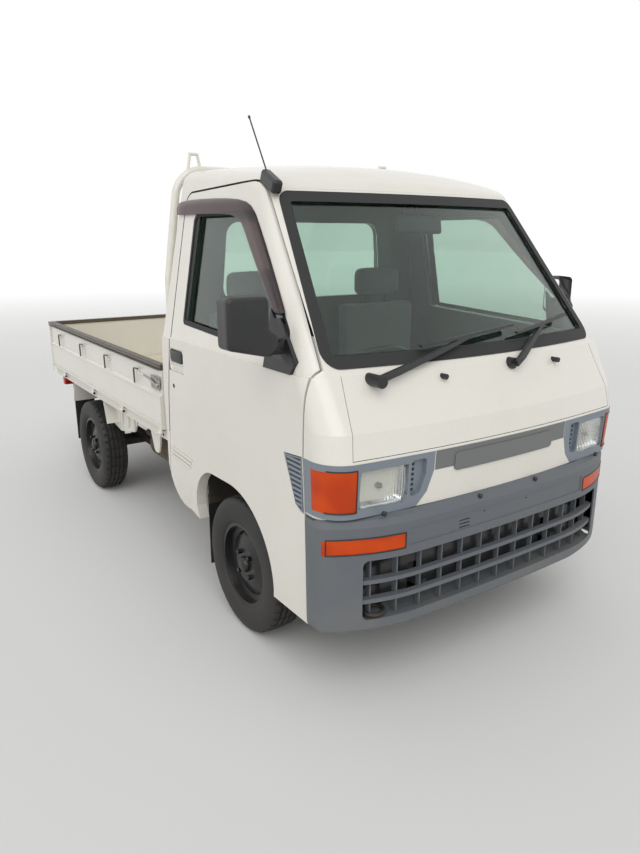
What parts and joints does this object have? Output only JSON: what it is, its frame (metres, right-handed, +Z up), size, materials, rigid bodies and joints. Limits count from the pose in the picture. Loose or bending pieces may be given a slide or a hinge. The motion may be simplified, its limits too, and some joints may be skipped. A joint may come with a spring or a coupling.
{
  "type": "small cab-over pickup truck",
  "caption": "Small cab-over pickup truck with a flat drop-side bed, two doors, hinged gates, steering and rolling wheels.",
  "frame": {"origin": "middle of the truck on the ground", "axes": "+Z up, truck faces -Y, driver sits on the -X side"},
  "size_m": [1.7586, 3.2935, 1.86],
  "materials": {
    "white_paint": "slightly worn white paint",
    "inner_paint": "cream paint, dusty",
    "chassis_paint": "black chassis paint",
    "steel_dark": "black wheel paint",
    "cast": "bare cast metal",
    "bumper_plastic": "weathered grey plastic",
    "trim_plastic": "blue grey plastic",
    "black_plastic": "black plastic",
    "orange_lens": "orange lamp lens",
    "red_lens": "red lamp lens",
    "visor_tint": "smoky acrylic",
    "clear_glass": "green tinted glass",
    "lamp_glass": "fluted lamp glass",
    "seal_rubber": "black rubber",
    "tyre_rubber": "dusty tyre rubber",
    "seat_cloth": "grey woven cloth",
    "dash_plastic": "grained grey plastic"
  },
  "bodies": {
    "chassis": {"cab_front": "white_paint", "cab_roof": "white_paint", "cab_back": "white_paint", "cab_floor": "chassis_paint", "nose_panel": "white_paint", "nose_trim": "trim_plastic", "headlamps": "lamp_glass", "orange_lamps": "orange_lens", "bumper": "bumper_plastic", "windscreen": "clear_glass", "windscreen_seal": "seal_rubber", "rear_window": "clear_glass", "wipers": "black_plastic", "aerial": "black_plastic", "dashboard": "dash_plastic", "seats": "seat_cloth", "ladder_frame": "chassis_paint", "bed_deck": "inner_paint", "guard_frame": "white_paint", "gate_hinges": "white_paint", "engine": "cast", "fuel_tank": "chassis_paint", "exhaust": "cast", "rear_axle": "chassis_paint", "leaf_springs": "chassis_paint", "front_arms": "chassis_paint", "rear_guards": "white_paint", "mud_flaps": "seal_rubber", "tail_lamps": "red_lens", "spare_wheel": "steel_dark", "spare_tyre": "tyre_rubber"},
    "door_right": {"door_panel_right": "white_paint", "door_glass_right": "clear_glass", "door_trim_right": "black_plastic", "door_visor_right": "visor_tint"},
    "gate_right": {"side_gate_right": "white_paint"},
    "knuckle_right": {"knuckle_right": "cast"},
    "wheel_front_right": {"tyre_front_right": "tyre_rubber", "wheel_front_right": "steel_dark"},
    "wheel_rear_right": {"tyre_rear_right": "tyre_rubber", "wheel_rear_right": "steel_dark"},
    "door_left": {"door_panel_left": "white_paint", "door_glass_left": "clear_glass", "door_trim_left": "black_plastic", "door_visor_left": "visor_tint"},
    "gate_left": {"side_gate_left": "white_paint"},
    "knuckle_left": {"knuckle_left": "cast"},
    "wheel_front_left": {"tyre_front_left": "tyre_rubber", "wheel_front_left": "steel_dark"},
    "wheel_rear_left": {"tyre_rear_left": "tyre_rubber", "wheel_rear_left": "steel_dark"},
    "gate_tail": {"tailgate": "white_paint"},
    "steering": {"steering_wheel": "black_plastic"}
  },
  "joints": [
    {"name": "door_right_hinge", "type": "hinge", "parent": "chassis", "child": "door_right", "pos_m": [-0.68, -1.505, 0.6], "axis": [0, 0, 1], "range_deg": [0, 60]},
    {"name": "gate_right_hinge", "type": "hinge", "parent": "chassis", "child": "gate_right", "pos_m": [-0.687, 0.65, 0.622], "axis": [0, -1, 0], "range_deg": [0, 175]},
    {"name": "steer_right", "type": "hinge", "parent": "chassis", "child": "knuckle_right", "pos_m": [-0.607, -0.965, 0], "axis": [0.2158, 0, 0.9764], "range_deg": [-33, 33]},
    {"name": "roll_front_right", "type": "hinge", "parent": "knuckle_right", "child": "wheel_front_right", "pos_m": [-0.6065, -0.965, 0.264], "axis": [1, 0, 0], "continuous": true},
    {"name": "roll_rear_right", "type": "hinge", "parent": "chassis", "child": "wheel_rear_right", "pos_m": [-0.6065, 0.935, 0.264], "axis": [1, 0, 0], "continuous": true},
    {"name": "door_left_hinge", "type": "hinge", "parent": "chassis", "child": "door_left", "pos_m": [0.68, -1.505, 0.6], "axis": [0, 0, -1], "range_deg": [0, 60]},
    {"name": "gate_left_hinge", "type": "hinge", "parent": "chassis", "child": "gate_left", "pos_m": [0.687, 0.65, 0.622], "axis": [0, 1, 0], "range_deg": [0, 175]},
    {"name": "steer_left", "type": "hinge", "parent": "chassis", "child": "knuckle_left", "pos_m": [0.607, -0.965, 0], "axis": [-0.2158, 0, 0.9764], "range_deg": [-33, 33]},
    {"name": "roll_front_left", "type": "hinge", "parent": "knuckle_left", "child": "wheel_front_left", "pos_m": [0.6065, -0.965, 0.264], "axis": [1, 0, 0], "continuous": true},
    {"name": "roll_rear_left", "type": "hinge", "parent": "chassis", "child": "wheel_rear_left", "pos_m": [0.6065, 0.935, 0.264], "axis": [1, 0, 0], "continuous": true},
    {"name": "gate_tail_hinge", "type": "hinge", "parent": "chassis", "child": "gate_tail", "pos_m": [0, 1.637, 0.622], "axis": [-1, 0, 0], "range_deg": [0, 175]},
    {"name": "steering_wheel_turn", "type": "hinge", "parent": "chassis", "child": "steering", "pos_m": [-0.33, -1.235, 1], "axis": [0, 0.6402, 0.7682], "range_deg": [-610.5, 610.5]}
  ],
  "couplings": [
    {"joint": "steer_left", "follows": "steer_right", "ratio": 1},
    {"joint": "steering_wheel_turn", "follows": "steer_right", "ratio": 18.5}
  ]
}
